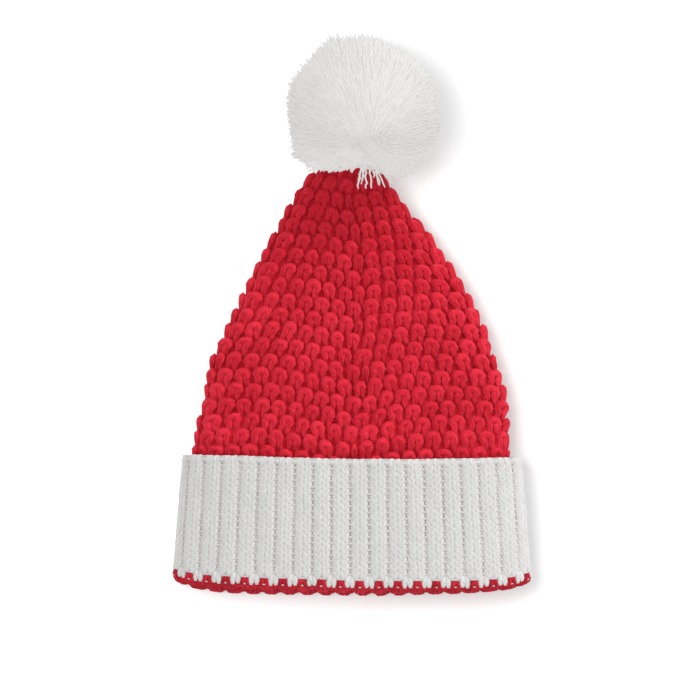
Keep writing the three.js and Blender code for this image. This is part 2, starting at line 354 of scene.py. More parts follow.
def strandMesh(centre, radius, sides, flat=1.0, up=(0.0, 0.0, 1.0), start=0.0):
    # A closed yarn along centre-line points, with its length and its turn for the uv map yarn.
    centre = np.array(centre, float)
    radius = np.array(radius, float)
    tangent = np.gradient(centre, axis=0)
    tangent /= np.linalg.norm(tangent, axis=1, keepdims=True)
    side = np.cross(tangent, np.array(up))
    side /= np.maximum(np.linalg.norm(side, axis=1, keepdims=True), 1e-9)
    front = np.cross(side, tangent)
    turn = start + np.arange(sides) * 2 * math.pi / sides
    ring = side[:, None] * np.cos(turn)[None, :, None] + flat * front[:, None] * np.sin(turn)[None, :, None]
    points = (centre[:, None] + ring * radius[:, None, None]).reshape(-1, 3)
    rows = len(centre)
    faces = [
        ((r + 1) * sides + i, (r + 1) * sides + (i + 1) % sides, r * sides + (i + 1) % sides, r * sides + i)
        for r in range(rows - 1)
        for i in range(sides)
    ]
    faces += [tuple(range(sides)), tuple(range((rows - 1) * sides, rows * sides))[::-1]]
    length = np.concatenate([[0], np.cumsum(np.linalg.norm(np.diff(centre, axis=0), axis=1))])
    uv = []
    for face in faces:
        for corner in face:
            r, i = divmod(corner, sides)
            closing = i == 0 and len(face) == 4 and (sides - 1) in [c % sides for c in face]
            uv.append((length[r], 1.0 if closing else i / sides))
    return points, faces, uv


def joinStrands(strands):
    points, faces, uv = [], [], []
    for strandPoints, strandFaces, strandUv in strands:
        base = len(points)
        points += strandPoints.tolist()
        faces += [tuple(base + corner for corner in face) for face in strandFaces]
        uv += strandUv
    return points, faces, uv


def yarnMesh(name, strands, size=(1, 1, 1), length=1.0, material=None):
    # The strands as one mesh, in units of this size, with their uv map; length scales that map.
    points, faces, uv = joinStrands(strands)
    mesh = meshFrom(name, np.array(points) / size, faces, material)
    mesh.uv_layers.new(name="yarn").data.foreach_set("uv", (np.array(uv) * (length, 1)).ravel())
    return mesh


def motifObject(name, strands, cell):
    # A stitch in its cell: x and y in cell sizes, z in metres.
    return bpy.data.objects.new(name, yarnMesh(name, strands, (*cell, 1)))


# node trees


def fill(tree, node, inputs):
    # Links a node's inputs to sockets, or sets them to values.
    for key, value in inputs.items():
        if isinstance(value, bpy.types.NodeSocket):
            tree.links.new(value, node.inputs[key])
        else:
            node.inputs[key].default_value = value


def addNode(tree, kind, inputs=None, **settings):
    node = tree.nodes.new(kind)
    for key, value in settings.items():
        setattr(node, key, value)
    fill(tree, node, inputs or {})
    return node


def addMath(tree, operation, *values):
    return addNode(tree, "ShaderNodeMath", dict(enumerate(values)), operation=operation).outputs[0]


def addVectorMath(tree, operation, first, second=None):
    # A scale takes a number as its second value, the others take a vector or none.
    inputs = {0: first}
    if second is not None:
        inputs["Scale" if operation == "SCALE" else 1] = second
    node = addNode(tree, "ShaderNodeVectorMath", inputs, operation=operation)
    return node.outputs["Value" if operation == "LENGTH" else "Vector"]


def nodeTree(name, kind, inputs, outputs):
    # A tree with its sockets, what is given to it and what it has to return.
    tree = bpy.data.node_groups.new(name, kind)
    for direction, sockets in (("INPUT", inputs), ("OUTPUT", outputs)):
        for label, socketKind in sockets.items():
            tree.interface.new_socket(label, in_out=direction, socket_type="NodeSocket" + socketKind)
    return tree, addNode(tree, "NodeGroupInput").outputs, addNode(tree, "NodeGroupOutput").inputs


# materials


def twistedPlyGroup():
    # Ridges of the plies that wind round a yarn, from its own uv map.
    inputs = {"Yarn": "Vector", "Plies": "Float", "Turns per metre": "Float"}
    group, given, result = nodeTree("twistedPly", "ShaderNodeTree", inputs, {"Ridge": "Float"})
    parts = addNode(group, "ShaderNodeSeparateXYZ", {0: given["Yarn"]}).outputs
    around = addMath(group, "MULTIPLY", parts["Y"], given["Plies"])
    along = addMath(group, "MULTIPLY", parts["X"], given["Turns per metre"])
    phase = addMath(group, "MULTIPLY", addMath(group, "ADD", around, along), math.pi)
    group.links.new(addMath(group, "ABSOLUTE", addMath(group, "SINE", phase)), result["Ridge"])
    return group


def fibreStreaksGroup():
    # Fibres that run along a yarn, from its own uv map; the place makes each yarn's its own.
    inputs = {"Yarn": "Vector", "Along": "Float", "Round": "Float", "Apart": "Float"}
    group, given, result = nodeTree("fibreStreaks", "ShaderNodeTree", inputs, {"Streak": "Float"})
    parts = addNode(group, "ShaderNodeSeparateXYZ", {0: given["Yarn"]}).outputs
    along = addMath(group, "MULTIPLY", parts["X"], given["Along"])
    around = addMath(group, "MULTIPLY", parts["Y"], given["Round"])
    stretched = addNode(group, "ShaderNodeCombineXYZ", {"X": along, "Y": around}).outputs[0]
    place = addNode(group, "ShaderNodeTexCoord").outputs["Object"]
    moved = addVectorMath(group, "ADD", stretched, addVectorMath(group, "SCALE", place, given["Apart"]))
    streak = addNode(group, "ShaderNodeTexNoise", {"Vector": moved, "Scale": 1, "Detail": 3})
    group.links.new(streak.outputs["Fac"], result["Streak"])
    return group


def woolGrainGroup():
    # Fine fibre grain and broad unevenness of a brushed yarn.
    inputs = {"Place": "Vector", "Fibre scale": "Float", "Patch scale": "Float"}
    outputs = {"Fibre": "Float", "Patch": "Float"}
    group, given, result = nodeTree("woolGrain", "ShaderNodeTree", inputs, outputs)
    for label, detail in (("Fibre", 3), ("Patch", 2)):
        values = {"Vector": given["Place"], "Scale": given[label + " scale"], "Detail": detail}
        group.links.new(addNode(group, "ShaderNodeTexNoise", values).outputs["Fac"], result[label])
    return group


twistedPly = twistedPlyGroup()
woolGrain = woolGrainGroup()
fibreStreaks = fibreStreaksGroup()


def addRadialNormal(tree, place, normal, middle, share):
    # A normal that leans outwards from the middle, as a ball of fine fibres is lit.
    outward = addVectorMath(tree, "NORMALIZE", addVectorMath(tree, "SUBTRACT", place, middle))
    blend = addNode(tree, "ShaderNodeMix", {"Factor": share, "A": normal, "B": outward}, data_type="VECTOR")
    return addVectorMath(tree, "NORMALIZE", blend.outputs["Result"])


def yarnMaterial(name, look):
    # Brushed yarn: plies, streaks and fibre grain in bump and colour, painted shade in the plies' valleys, a
    # tone for each stitch and a painted glow.
    material = bpy.data.materials.new(name)
    material.use_nodes = True
    tree = material.node_tree

    def plus(total, value, amount):
        return addMath(tree, "ADD", total, addMath(tree, "MULTIPLY", value, amount))

    place = addNode(tree, "ShaderNodeTexCoord").outputs["Object"]
    values = {
        "Place": addVectorMath(tree, "MULTIPLY", place, look["grainShape"]),
        "Fibre scale": look["fibreScale"], "Patch scale": look["patchScale"],
    }
    grain = addNode(tree, "ShaderNodeGroup", values, node_tree=woolGrain).outputs
    patch = addMath(tree, "MULTIPLY", grain["Patch"], look["patchShade"])
    shade = plus(patch, addMath(tree, "SUBTRACT", grain["Fibre"], 0.5), look["fibreShade"])
    height = addMath(tree, "MULTIPLY", grain["Fibre"], look["fibreDepth"])
    if look["plies"]:
        chart = addNode(tree, "ShaderNodeUVMap", uv_map="yarn").outputs["UV"]
        values = {"Yarn": chart, "Plies": look["plies"], "Turns per metre": look["turns"]}
        ridge = addNode(tree, "ShaderNodeGroup", values, node_tree=twistedPly).outputs["Ridge"]
        values = {"Yarn": chart, **look["streaks"]}
        streak = addNode(tree, "ShaderNodeGroup", values, node_tree=fibreStreaks).outputs["Streak"]
        centred = addMath(tree, "SUBTRACT", streak, 0.5)
        # painted shade: the plies' valleys are coloured darker
        shade = plus(plus(shade, ridge, look["plyPaintedShade"]), centred, look["streakShade"])
        height = plus(plus(height, ridge, look["plyDepth"]), centred, look["streakDepth"])
    tone = addNode(tree, "ShaderNodeAttribute", attribute_name="tone").outputs["Fac"]
    shade = plus(shade, tone, look["toneSpread"])
    values = {"Factor": shade, "A": (*look["dark"], 1), "B": (*look["bright"], 1)}
    color = addNode(tree, "ShaderNodeMix", values, data_type="RGBA").outputs["Result"]
    normal = addNode(tree, "ShaderNodeBump", {"Distance": look["bump"], "Height": height}).outputs["Normal"]
    if look.get("ball"):
        normal = addRadialNormal(tree, place, normal, look["ball"], look["ballShare"])
    shader = tree.nodes["Principled BSDF"]
    fill(tree, shader, {
        "Base Color": color, "Normal": normal, "Roughness": look["roughness"],
        "Specular IOR Level": look["gloss"], "Sheen Weight": look["sheen"],
        "Sheen Roughness": look["sheenRoughness"], "Sheen Tint": (*look["sheenTint"], 1),
    })
    if look.get("translucent"):
        through = addNode(tree, "ShaderNodeBsdfTranslucent", {"Color": color}).outputs[0]
        values = {"Fac": look["translucent"], 1: shader.outputs[0], 2: through}
        blend = addNode(tree, "ShaderNodeMixShader", values).outputs[0]
        tree.links.new(blend, tree.nodes["Material Output"].inputs["Surface"])
    # painted glow: the yarn emits light of its own, standing in for light scattered in its fibres
    if look["paintedGlow"]:
        fill(tree, shader, {
            "Emission Color": (*look["paintedGlowTint"], 1), "Emission Strength": look["paintedGlow"],
        })
    return material


redLook = {
    "dark": (0.42, 0.007, 0.019),
    "bright": (0.66, 0.025, 0.052),
    "roughness": 0.9,
    "gloss": 0.1,
    "sheen": 0.15,
    "sheenRoughness": 0.6,
    "sheenTint": (1.0, 0.25, 0.3),
    "bump": 0.0007,
    "grainShape": (1.0, 0.2, 1.0),  # the grain is drawn out along the hat
    "fibreScale": 1300,
    "fibreDepth": 0.9,
    "fibreShade": 2.4,
    "patchScale": 45,
    "patchShade": 0.5,
    "plies": 3,
    "turns": 110,  # for each metre of yarn
    "plyDepth": 0.6,
    "plyPaintedShade": 0.35,
    "streaks": {"Along": 300, "Round": 15, "Apart": 70},
    "streakDepth": 1.1,
    "streakShade": 1.3,
    "toneSpread": 0.2,
    "paintedGlow": 0.1,  # painted glow: emitted light that stands in for light coming back out of the fibres
    "paintedGlowTint": (1.0, 0.02, 0.04),
}
# painted shade: the hem's yarn is coloured darker, standing in for the cuff's shadow over it
redHemPaintedShadeLook = dict(redLook, dark=(0.2, 0.004, 0.011), bright=(0.5, 0.02, 0.038))
# painted shade: the yarn behind the crown's loops is coloured darker and plain, as shade in the holes between
# them
redPaintedShadeLook = dict(redLook, dark=(0.4, 0.006, 0.016), bright=(0.62, 0.015, 0.033), plies=0)
redPurlLook = dict(redLook, bright=(0.6, 0.015, 0.035), plies=0)
whiteLook = dict(
    redLook, dark=(0.56, 0.555, 0.545), bright=(0.7, 0.695, 0.68), sheenTint=(1, 1, 1), bump=0.0005,
    fibreShade=0.3, plies=2, plyDepth=0.5, plyPaintedShade=0.3, streakDepth=0.6, streakShade=0.5,
    toneSpread=0.12, paintedGlow=0.0, paintedGlowTint=(1, 0.99, 0.975),
)
whiteShadeLook = dict(whiteLook, dark=(0.66, 0.59, 0.58), bright=(0.8, 0.73, 0.72), plies=0)
# painted glow: the pompom's white comes mostly from emitted light, standing in for light scattered through
# its fibres
pompomLook = dict(
    whiteLook, dark=(0.42, 0.417, 0.41), bright=(0.48, 0.477, 0.472), bump=0.0001, fibreShade=0.1,
    turns=160, streakDepth=0.3, streakShade=0.2, paintedGlow=0.885, translucent=0.5,
    ball=tuple((pompomLow + pompomHigh) / 2), ballShare=0.93,
)
redYarn = yarnMaterial("redKnittingYarn", redLook)
redHemYarn = yarnMaterial("redHemYarn", redHemPaintedShadeLook)
redPaintedShade = yarnMaterial("redYarnBehindTheStitches", redPaintedShadeLook)
redLining = yarnMaterial("redPurlSide", redPurlLook)
whiteYarn = yarnMaterial("whiteKnittingYarn", whiteLook)
whiteShade = yarnMaterial("whiteYarnBehindTheStitches", whiteShadeLook)
pompomYarn = yarnMaterial("whitePompomYarn", pompomLook)
pompomShade = yarnMaterial("pompomYarnInside", dict(pompomLook, plies=0, bump=0.001))
print("materials ready")

# geometry nodes that knit stitches on to a surface

restHeight = 0.4 * mm  # of the lowest yarn above the table
chartEdge = 0.0005  # how near the chart's ends a stitch may reach
unevenScale = 55.0  # of the noise that shifts the stitches
middleColor = (0.5, 0.5, 0.5)  # of the noise


def placeOf(tree):
    return addNode(tree, "GeometryNodeInputPosition").outputs[0]


def namedAttribute(tree, name, kind):
    node = addNode(tree, "GeometryNodeInputNamedAttribute", {"Name": name}, data_type=kind)
    return node.outputs["Attribute"]


def storeAttribute(tree, geometry, name, kind, value):
    values = {"Geometry": geometry, "Name": name, "Value": value}
    return addNode(tree, "GeometryNodeStoreNamedAttribute", values, data_type=kind).outputs["Geometry"]


def movePoints(tree, geometry, key, value):
    # The key is Position for the new place itself, or Offset for the way to it.
    return addNode(tree, "GeometryNodeSetPosition", {"Geometry": geometry, key: value}).outputs["Geometry"]


def addWobble(tree, scale, detail, amount):
    color = addNode(tree, "ShaderNodeTexNoise", {"Scale": scale, "Detail": detail}).outputs["Color"]
    return addVectorMath(tree, "SCALE", addVectorMath(tree, "SUBTRACT", color, middleColor), amount)


def onTableInYarn(tree, geometry, yarn, result):
    # Lifts what lies under the table's top on to it, gives it its yarn and returns it.
    parts = addNode(tree, "ShaderNodeSeparateXYZ", {0: placeOf(tree)}).outputs
    lifted = {"X": parts["X"], "Y": parts["Y"], "Z": addMath(tree, "MAXIMUM", parts["Z"], restHeight)}
    place = addNode(tree, "ShaderNodeCombineXYZ", lifted).outputs[0]
    values = {"Geometry": movePoints(tree, geometry, "Position", place), "Material": yarn}
    tree.links.new(addNode(tree, "GeometryNodeSetMaterial", values).outputs["Geometry"], result)


def knittingTree():
    # Sets a stitch on each point of a plan that is flat in the chart, then wraps all on the surface.
    inputs = {
        "Plan": "Geometry", "Stitches": "Collection", "Surface": "Object", "Unevenness": "Float",
        "Uneven scale": "Float", "Yarn": "Material",
    }
    tree, given, result = nodeTree("knitOnSurface", "GeometryNodeTree", inputs, {"Knitting": "Geometry"})
    values = {"Collection": given["Stitches"], "Separate Children": True, "Reset Children": True}
    stitches = addNode(tree, "GeometryNodeCollectionInfo", values)
    instances = addNode(tree, "GeometryNodeInstanceOnPoints", {
        "Points": given["Plan"], "Instance": stitches.outputs["Instances"], "Pick Instance": True,
        "Instance Index": namedAttribute(tree, "kind", "INT"),
        "Scale": namedAttribute(tree, "cell", "FLOAT_VECTOR"),
    })
    real = addNode(tree, "GeometryNodeRealizeInstances", {"Geometry": instances.outputs["Instances"]})
    flat = addNode(tree, "ShaderNodeSeparateXYZ", {0: placeOf(tree)}).outputs
    v = addMath(tree, "MINIMUM", addMath(tree, "MAXIMUM", flat["Y"], chartEdge), 1 - chartEdge)
    at = addNode(tree, "ShaderNodeCombineXYZ", {"X": addMath(tree, "FRACT", flat["X"]), "Y": v})
    surface = addNode(tree, "GeometryNodeObjectInfo", {"Object": given["Surface"]})
    sampled = []
    for value in (placeOf(tree), namedAttribute(tree, "outward", "FLOAT_VECTOR")):
        values = {
            "Mesh": surface.outputs["Geometry"], "Value": value, "Sample UV": at.outputs[0],
            "UV Map": namedAttribute(tree, "chart", "FLOAT_VECTOR"),
        }
        sample = addNode(tree, "GeometryNodeSampleUVSurface", values, data_type="FLOAT_VECTOR")
        sampled.append(sample.outputs["Value"])
    place, outward = sampled
    wrapped = addVectorMath(tree, "ADD", place, addVectorMath(tree, "SCALE", outward, flat["Z"]))
    knitting = movePoints(tree, real.outputs["Geometry"], "Position", wrapped)
    wobble = addWobble(tree, given["Uneven scale"], 1, given["Unevenness"])
    loosened = movePoints(tree, knitting, "Offset", wobble)
    onTableInYarn(tree, loosened, given["Yarn"], result["Knitting"])
    return tree


knitOnSurface = knittingTree()


def dropAttributes(mesh):
    # Removes what only the node trees read.
    for name in ("cell", "kind", "reach", "free", "fullness"):
        if name in mesh.attributes:
            mesh.attributes.remove(mesh.attributes[name])


def runNodes(holder, tree, values):
    # The tree's result as the holder's plain mesh.
    modifier = holder.modifiers.new(tree.name, "NODES")
    modifier.node_group = tree
    for item in tree.interface.items_tree:
        if item.item_type == "SOCKET" and item.in_out == "INPUT" and item.name in values:
            modifier[item.identifier] = values[item.name]
    depsgraph = bpy.context.evaluated_depsgraph_get()
    made = bpy.data.meshes.new_from_object(
        holder.evaluated_get(depsgraph), preserve_all_data_layers=True, depsgraph=depsgraph
    )
    holder.modifiers.clear()
    plan = holder.data
    holder.data = made
    bpy.data.meshes.remove(plan)
    made.name = holder.name
    dropAttributes(smoothed(made))
    return holder


def planMesh(name, stitches):
    # Points of a plan: (u, v, depth, cell width, cell height, kind, tone) for each stitch.
    table = np.array(stitches, float)
    mesh = meshFrom(name, table[:, :3], [])
    cell = np.stack([table[:, 3], table[:, 4], np.ones(len(table))], axis=1)
    writeAttribute(mesh, "cell", "FLOAT_VECTOR", cell)
    writeAttribute(mesh, "kind", "INT", table[:, 5].astype(np.int32))
    writeAttribute(mesh, "tone", "FLOAT", table[:, 6])
    return mesh


def knit(name, stitches, motifs, surface, yarn, unevenness):
    collection = bpy.data.collections.new(name + "Stitches")
    for motif in motifs:
        collection.objects.link(motif)
    holder = placed(name, planMesh(name, stitches))
    values = {
        "Stitches": collection, "Surface": surface["obj"], "Unevenness": unevenness,
        "Uneven scale": unevenScale, "Yarn": yarn,
    }
    return runNodes(holder, knitOnSurface, values)


# crown

crown = {
    "pitch": 10.7 * mm,  # from one loop to the next in a row
    "wideAtFolds": 0.09,
    "firstRow": cuffTop - 7 * mm - form["rowPitch"],
    "hiddenBelow": cuffTop - 10 * mm,  # no loops further down under the cuff
    "lastRow": crownLength - 6 * mm,
    "surface": -2.9 * mm,  # the loops' own level under the crown's outside
    "tuckReach": 24 * mm,  # above the cuff's edge, at the folds
    "tuckDepth": 2.6 * mm,
    "tuckBend": 6,
    "sides": 5,
    "flatness": 0.88,
    "ladderRadius": 1.1 * mm,
    "backing": -4.2 * mm,
    "depthSpread": 0.55 * mm,
    "variants": 8,
    "loopTurn": 0.24,
    "loopWidthSpread": 0.1,
    "loopShift": 0.5,  # in millimetres, as the routes below
    "loopTilt": 0.2,
    "widthSpread": 0.08,
    "heightSpread": 0.09,
    "alongSpread": 0.5 * mm,
    "tipPitch": 0.93,  # at the tip, as a share of the pitch
    "widestGore": 95 * mm,  # from where on the pitch is whole
    "leastCut": 0.35,  # of a loop at a gore's far edge
    "tipPaintedShade": 2.5,  # painted shade: how much darker the tip under the pompom is, in steps of the yarn's tone
    "tipFrom": (0.6, 0.92),  # shares of the crown's length
    "unevenness": 2.0 * mm,
    "columns": 240,
    "rows": 110,
    "start": cuffTop - 36 * mm,
}
loopRoute = [  # across, along, height, radius, from the foot to the crest
    (2.9, -6.6, -1.5, 1.5),
    (2.2, -3.6, -0.6, 2.0),
    (1.85, -0.8, 0.4, 2.2),
    (2.6, 1.6, 0.95, 2.6),
    (1.8, 3.2, 1.2, 2.6),
]
loopCrest = (0, 3.6, 1.35, 2.6)
ladderRoute = [(2.6, -1.5, -1.9), (5.35, -0.9, -0.9), (8.1, -1.5, -1.9)]


def tuckLoop(name, rng):
    # One fat loop that stands in its row, its feet under the row below, and the thin bar beside it.
    half = [(-x, y, z, r) for x, y, z, r in loopRoute]
    route = np.array(half + [loopCrest] + loopRoute[::-1])
    wide, shift, tilt = crown["loopWidthSpread"], crown["loopShift"], crown["loopTilt"]
    turn = rng.uniform(-1, 1) * crown["loopTurn"]
    x = route[:, 0] * (1 + rng.uniform(-wide, wide)) + turn * route[:, 1]
    y = route[:, 1] - turn * route[:, 0] + rng.uniform(-shift, shift)
    z = route[:, 2] + rng.uniform(-tilt, tilt) * route[:, 0]
    centre = np.stack([x, y, z], axis=1) * mm
    upright = math.pi / 2
    loop = strandMesh(centre, route[:, 3] * mm, crown["sides"], crown["flatness"], start=upright)
    bar = strandMesh(np.array(ladderRoute) * mm, np.full(3, crown["ladderRadius"]), 3, start=upright)
    return motifObject(name, [loop, bar], (crown["pitch"], form["rowPitch"]))


def crownPlan(surface, distances):
    # Four gores; a gore's columns run along the edge that it starts at, and are cut at the other.
    rng = np.random.default_rng(7)
    along, length = surface["along"], surface["along"][-1]
    stitches = []
    for row, distance in enumerate(np.arange(crown["firstRow"], crown["lastRow"], form["rowPitch"])):
        v = np.interp(distance, distances, along)
        perimeter = np.interp(v, along, surface["perimeter"])
        stretch = np.interp(distance + form["rowPitch"], distances, along) - v
        gore = perimeter / 4
        tipPitch = crown["tipPitch"]
        pitch = crown["pitch"] * (tipPitch + (1 - tipPitch) * min(gore / crown["widestGore"], 1))
        shift = 0.0 if row % 2 else 0.5
        for part in range(4):
            edges = [(shift - 0.5) * pitch]
            limit = gore + (shift - 0.5) * pitch
            while edges[-1] + (1 + crown["leastCut"]) * pitch < limit:
                edges.append(edges[-1] + pitch)
            edges.append(limit)
            for left, right in zip(edges[:-1], edges[1:]):
                u = (part + (left + right) / 2 / gore) / 4
                wide = 1 + crown["wideAtFolds"] * math.cos(4 * math.pi * u)
                varied = 1 + rng.uniform(-crown["widthSpread"], crown["widthSpread"])
                width = (right - left) * wide * varied / perimeter
                u += crown["wideAtFolds"] * math.sin(4 * math.pi * u) / (4 * math.pi)
                deep = rng.uniform(-1, 1) * crown["depthSpread"]
                side = math.cos(2 * math.pi * u)
                place = float(bowed(distance, side, math.sin(2 * math.pi * u) / 2 + 0.5, True))
                if place < crown["hiddenBelow"]:
                    continue
                tucked = side ** crown["tuckBend"] * max(1 - (place - cuffTop) / crown["tuckReach"], 0)
                deep -= crown["tuckDepth"] * tucked
                varied = 1 + rng.uniform(-crown["heightSpread"], crown["heightSpread"])
                tall = max(stretch, form["rowPitch"]) * varied / length
                kind = rng.integers(crown["variants"])
                atTip = smoothStep(distance / crownLength, *crown["tipFrom"])
                # the tip's painted shade lowers the stitch's random tone
                tone = rng.uniform(-1, 1) - crown["tipPaintedShade"] * atTip
                shifted = v + rng.uniform(-crown["alongSpread"], crown["alongSpread"])
                stitches.append((u, shifted / length, deep, width, tall, kind, tone))
    return stitches


def addCrown():
    distances = np.linspace(crown["start"], crownLength, crown["rows"])
    path = [(distance, crown["surface"]) for distance in distances]
    surface = surfaceFor("crownChart", path, crown["columns"], crownRows=True)
    rng = np.random.default_rng(3)
    motifs = [tuckLoop(f"tuckLoop{k}", rng) for k in range(crown["variants"])]
    plan = crownPlan(surface, distances)
    loops = knit("crownLoops", plan, motifs, surface, redYarn, crown["unevenness"])
    bpy.data.objects.remove(surface["obj"])
    return loops


# the fabric behind the loops, coloured in painted shade there, with the purl side that shows inside the hat

lining = {
    "fold": 2.0 * mm,  # under the hem's outside
    "bumpDepth": 0.8 * mm,
    "bumpAcross": 5.7 * mm,
    "bumpAlong": 4.8 * mm,
    "columns": 216,
    "rowStep": 2.3 * mm,
    "underHem": 0.4 * mm,  # outside, under the hem's stitches
    "outerStep": 4 * mm,
}


def addCrownFabric():
    count = lining["columns"]
    inner = np.arange(crownLength - 2 * form["crownWall"], foldRadius, -lining["rowStep"])
    innerGrid = tubeGrid([(distance, -form["crownWall"]) for distance in inner], count)
    perimeter = np.linalg.norm(np.diff(innerGrid, axis=1), axis=2).sum(axis=1)[:, None]
    waves = np.round(perimeter / lining["bumpAcross"] / 2) * 2
    place = (inner / lining["bumpAlong"])[:, None]
    share = np.linspace(0, 1, count + 1)[None]
    bump = 0.6 + 0.4 * np.cos(2 * math.pi * share * waves + math.pi * (np.floor(place) % 2))
    height = np.abs(np.sin(math.pi * place)) * bump * lining["bumpDepth"]
    innerGrid = innerGrid + rowNormals(innerGrid) * height[:, :, None]
    path = halfTurn(foldRadius, foldCentre, lining["fold"] - foldRadius, 9)[:-1]
    lipEnd = form["hemLip"] + 2 * mm
    path += [(distance, turnUp - lining["fold"]) for distance in (foldRadius + 1 * mm, lipEnd)]
    outside = [(distance, -lining["underHem"]) for distance in (lipEnd, cuffTop - 20 * mm)]
    behind = np.arange(cuffTop - 14 * mm, crownLength, lining["outerStep"])
    outside += [(distance, crown["backing"]) for distance in behind]
    grid = np.concatenate([innerGrid, tubeGrid(path + outside, count)])
    fabric = tubePiece("crownFabric", grid, redLining)
    fabric.data.materials.append(redPaintedShade)
    # the faces behind the loops take the painted-shade material, those inside the hat take the purl side
    behindLoops = (len(grid) - len(outside) + 1) * count
    for face in fabric.data.polygons:
        face.material_index = int(min(face.vertices) > behindLoops)
    return fabric


# cuff

cuff = {
    "ribs": 40,
    "rowPitch": 3.75 * mm,
    "legRadius": 1.66 * mm,
    "legLength": 7.4 * mm,
    "legLean": 1.2 * mm,
    "legSwell": (0.6, 0.92, 1.0, 0.92, 0.55),  # its thickness from foot to head
    "legFlatness": 0.75,
    "toothRadius": 1.78 * mm,
    "toothLength": 7.6 * mm,
    "toothPlace": 0.125,
    "toothShares": (-0.5, -0.25, 0.1, 0.45, 0.8),  # where along it the swell is
    "toothSwell": (0.5, 0.95, 1.0, 0.95, 0.6),
    "toothFlatness": 0.5,
    "sides": 6,
    "grooveDepth": 1.3 * mm,
    "grooveBend": 1.2,
    "placeSpread": 0.02,  # of a leg, in ribs
    "depthSpread": 0.07 * mm,
    "heightSpread": 0.04,
    "toothSpread": 0.025,
    "toothHeightSpread": 0.1,
    "surface": -1.05 * mm,  # the legs' centre-lines, under the cuff's outside
    "columns": 320,
    "unevenness": 0.9 * mm,
    "roundness": 1.95,  # hem widths that the cuff measures round
    "edgeFade": (0.9, 8 * mm, 2 * mm),  # how much of the ribs' depth goes, from and to where under the edge
    "rolled": 7 * mm,  # the part under the edge where the yarn rolls over
    "rolledDepth": 0.65 * mm,
    "barDepth": 0.45,  # as a share of the grooves' depth
}
ribWidth = (crownHigh.x - crownLow.x) * cuff["roundness"] / cuff["ribs"]
waleLegs = [(0.214, -1), (0.403, 1), (0.597, -1), (0.786, 1)]  # place in the rib, side of the leg


def knitLeg(name, side):
    # One slanting leg of a knit stitch.
    lean = cuff["legLean"] * side
    shares = np.linspace(-1, 1, len(cuff["legSwell"]))
    route = [(lean * s, cuff["legLength"] / 2 * s, (-0.35 * s**2 - 0.3 * s) * mm) for s in shares]
    swell = np.array(cuff["legSwell"]) * cuff["legRadius"]
    leg = strandMesh(route, swell, cuff["sides"], cuff["legFlatness"])
    return motifObject(name, [leg], (ribWidth, cuff["rowPitch"]))


def hemTooth(name, side):
    # One of the two white legs that end over the red hem at each groove.
    route = [
        (0.5 * mm * side * s, cuff["toothLength"] * s, (-1.2 * s - 2.2 * s**2) * mm)
        for s in cuff["toothShares"]
    ]
    swell = np.array(cuff["toothSwell"]) * cuff["toothRadius"]
    tooth = strandMesh(route, swell, cuff["sides"], cuff["toothFlatness"])
    return motifObject(name, [tooth], (ribWidth, cuff["rowPitch"]))


def crossBar(name, reach, radius):
    # A short yarn lying across the ribs.
    route = [(reach * s, 0, (-0.5 * s**2) * mm) for s in (-1, -0.4, 0.4, 1)]
    bar = strandMesh(route, np.array([0.7, 1, 1, 0.7]) * radius, 5)
    return motifObject(name, [bar], (ribWidth, cuff["rowPitch"]))


def ribDepthAt(place):
    # Depth of the yarn between one groove, over the rib's middle, and the next groove.
    return -cuff["grooveDepth"] * (1 - math.sin(math.pi * place)) ** cuff["grooveBend"]


def legRows(surface, first, last, rng, relief, places=waleLegs):
    # Rows of legs, four to a rib, between two lengths along the surface's path.
    length = surface["along"][-1]
    stitches = []
    for v in np.arange(first, last, cuff["rowPitch"]):
        for rib in range(cuff["ribs"]):
            for place, side in places:
                u = (rib + place + rng.uniform(-1, 1) * cuff["placeSpread"]) / cuff["ribs"]
                depth = ribDepthAt(place) * relief(v) + rng.uniform(-1, 1) * cuff["depthSpread"]
                tall = cuff["rowPitch"] * (1 + rng.uniform(-1, 1) * cuff["heightSpread"]) / length
                tone = rng.uniform(-1, 1)
                stitches.append((u, v / length, depth, 1 / cuff["ribs"], tall, int(side > 0), tone))
    return stitches


def edgePath(outset):
    # From the teeth on the lip up the cuff's outside, over its top edge and a little way down inside.
    radius = form["cuffWall"] / 2
    outside = [(distance, outset) for distance in np.linspace(cuffFoot, cuffTop - radius, 30)]
    centre = turnUp - radius
    reach = outset - centre
    inside = [(cuffTop - radius - 4 * mm, centre - reach)]
    return outside + halfTurn(cuffTop - radius, centre, reach, 9) + inside


cuffFoot = 2 * mm
toothFoot = 3.6 * mm  # the lowest white, along the hat from its fold
squareTop = 7.9 * mm  # the lowest white at the ribs' middles
innerLegs = [waleLegs[1], waleLegs[2]]


def barPlan(total, edge, rng):
    # Yarns across the grooves and the rolled edge, and those that close the hem's squares and notches.
    bars = []
    cell = (1 / cuff["ribs"], cuff["rowPitch"] / total)
    for v in np.arange(squareTop - cuffFoot, edge + 2 * mm, cuff["rowPitch"]):
        rolled = v > edge - cuff["rolled"]
        depth = -cuff["rolledDepth"] if rolled else -cuff["barDepth"] * cuff["grooveDepth"]
        for rib in range(cuff["ribs"]):
            u = rib / cuff["ribs"]
            bars.append((u, v / total, depth, *cell, 2 * rolled, rng.uniform(-1, 1)))
            if rolled:
                bars.append((u, v / total + cell[1] / 2, depth, *cell, 2, 0))
    closings = [  # place in the rib, height, depth, kind
        (0.5, toothFoot + 0.4 * mm, 0.9 * mm, 1),
        (0.5, squareTop + 0.5 * mm, -0.1 * mm, 3),
        (0.5, squareTop + 2.2 * mm, -0.2 * mm, 3),
        (0.0, toothFoot + 3.2 * mm, 0.1 * mm, 3),
    ]
    for place, height, depth, kind in closings:
        for rib in range(cuff["ribs"]):
            u = (rib + place) / cuff["ribs"]
            bars.append((u, (height - cuffFoot) / total, depth, *cell, kind, rng.uniform(-1, 1)))
    return bars


